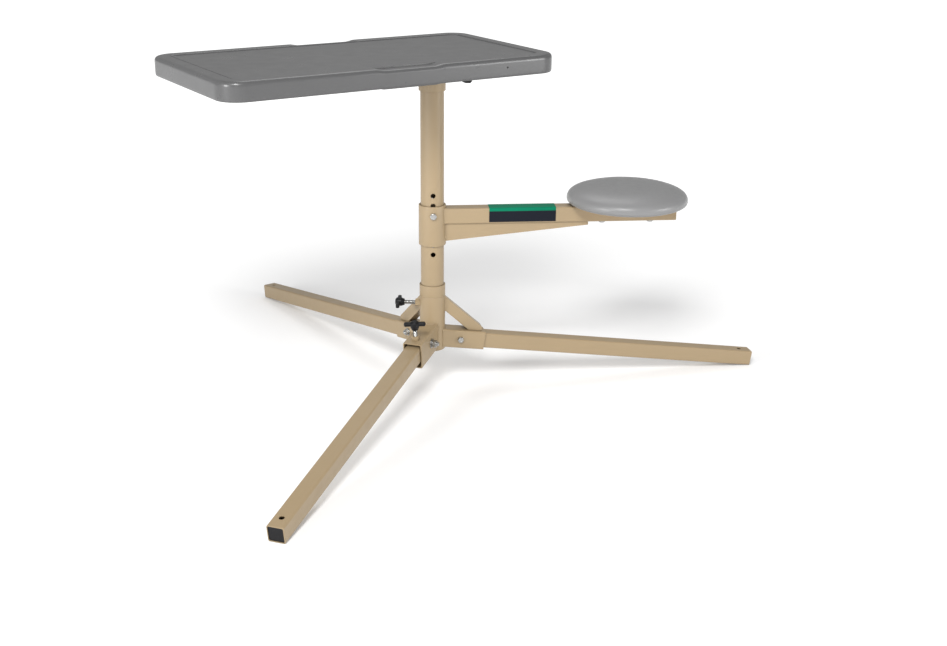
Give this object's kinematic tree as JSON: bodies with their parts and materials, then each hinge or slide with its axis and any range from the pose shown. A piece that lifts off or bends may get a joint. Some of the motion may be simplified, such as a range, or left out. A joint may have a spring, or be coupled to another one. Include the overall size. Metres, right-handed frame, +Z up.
{
  "type": "swivel bench with table and seat",
  "caption": "Portable field bench: a moulded table and a round padded seat that swivel on one post over three square-tube legs.",
  "frame": {"origin": "on the floor, at the middle of the object's box seen from above", "axes": "+Z up; +X along the seat arm, from the post to the seat"},
  "size_m": [1.443, 1.494, 0.831],
  "materials": {
    "tan_paint": "tan powder coat, semi-gloss",
    "zinc": "bright zinc plate",
    "black_plastic": "black moulded plastic, satin",
    "grey_polymer": "grey blow-moulded polymer, fine texture",
    "grey_vinyl": "smooth grey vinyl, satin",
    "nylon": "natural nylon",
    "plywood": "bare plywood",
    "label": "blank printed film, green over black"
  },
  "bodies": {
    "base": {"base_tube": "tan_paint", "base_plate": "tan_paint", "thrust_washer": "nylon", "socket_right": "tan_paint", "socket_rear": "tan_paint", "socket_front": "tan_paint", "brace_right": "tan_paint", "brace_rear": "tan_paint", "lock_boss": "tan_paint", "levelling_boss": "tan_paint", "leg_right": "tan_paint", "leg_rear": "tan_paint", "leg_plug_right": "black_plastic", "leg_plug_rear": "black_plastic", "leg_bolt_right": "zinc", "leg_bolt_rear": "zinc", "leg_nut_right": "zinc", "leg_nut_rear": "zinc", "leg_washer_right": "zinc", "leg_washer_rear": "zinc", "pivot_bolt": "zinc", "pivot_nut": "zinc", "pivot_washer": "zinc", "pivot_spring_washer": "zinc"},
    "front_leg": {"leg_front": "tan_paint", "leg_plug_front": "black_plastic", "pivot_sleeve": "zinc"},
    "levelling_stud": {"levelling_stud": "zinc"},
    "levelling_knob": {"levelling_knob": "black_plastic"},
    "lock_stud": {"lock_stud": "zinc"},
    "lock_knob": {"lock_knob": "black_plastic"},
    "post": {"post": "tan_paint", "post_foot": "nylon", "post_cap": "nylon", "seat_collar": "tan_paint", "collar_bolt": "zinc", "collar_nut": "zinc", "seat_arm": "tan_paint", "arm_gusset": "tan_paint", "arm_plug": "black_plastic", "arm_label": "label", "seat_board": "plywood", "seat_cushion": "grey_vinyl", "seat_bolt_inner": "zinc", "seat_bolt_outer": "zinc"},
    "table": {"table_sleeve": "tan_paint", "table_plate": "tan_paint", "table_lock_boss": "tan_paint", "table_top_shell": "grey_polymer", "table_bottom_shell": "grey_polymer", "table_bolt_1": "zinc", "table_bolt_2": "zinc", "table_bolt_3": "zinc", "table_bolt_4": "zinc"},
    "table_lock_stud": {"table_lock_stud": "zinc"},
    "table_lock_knob": {"table_lock_knob": "black_plastic"}
  },
  "joints": [
    {"name": "swivel", "type": "hinge", "parent": "base", "child": "post", "pos_m": [-0.11442, 0.02096, 0.2], "axis": [0, 0, 1], "continuous": true},
    {"name": "table_swivel", "type": "hinge", "parent": "post", "child": "table", "pos_m": [-0.11442, 0.02096, 0.76], "axis": [0, 0, 1], "continuous": true},
    {"name": "front_leg_tilt", "type": "hinge", "parent": "base", "child": "front_leg", "pos_m": [-0.14274, -0.03977, 0.13835], "axis": [0.9063, -0.4226, 0], "range_deg": [-2, 2]},
    {"name": "levelling_travel", "type": "slide", "parent": "base", "child": "levelling_stud", "axis": [-0.0576, -0.1235, 0.9907], "range_m": [-0.0015, 0.0015]},
    {"name": "levelling_turn", "type": "hinge", "parent": "levelling_stud", "child": "levelling_knob", "pos_m": [-0.15985, -0.07647, 0.13278], "axis": [-0.0576, -0.1235, 0.9907], "range_deg": [-350, 350]},
    {"name": "lock_travel", "type": "slide", "parent": "base", "child": "lock_stud", "axis": [-0.982, 0.1891, 0], "range_m": [0, 0.006]},
    {"name": "lock_turn", "type": "hinge", "parent": "lock_stud", "child": "lock_knob", "pos_m": [-0.11442, 0.02096, 0.2167], "axis": [-0.982, 0.1891, 0], "range_deg": [0, 1460]},
    {"name": "table_lock_travel", "type": "slide", "parent": "table", "child": "table_lock_stud", "axis": [0.9947, -0.1028, 0], "range_m": [0, 0.006]},
    {"name": "table_lock_turn", "type": "hinge", "parent": "table_lock_stud", "child": "table_lock_knob", "pos_m": [-0.11442, 0.02096, 0.762], "axis": [0.9947, -0.1028, 0], "range_deg": [0, 1460]}
  ],
  "couplings": [
    {"joint": "levelling_travel", "follows": "front_leg_tilt", "m_per_rad": -0.040881},
    {"joint": "levelling_turn", "follows": "front_leg_tilt", "ratio": -171.24},
    {"joint": "lock_turn", "follows": "lock_travel", "rad_per_m": 4188.8},
    {"joint": "table_lock_turn", "follows": "table_lock_travel", "rad_per_m": 4188.8}
  ]
}
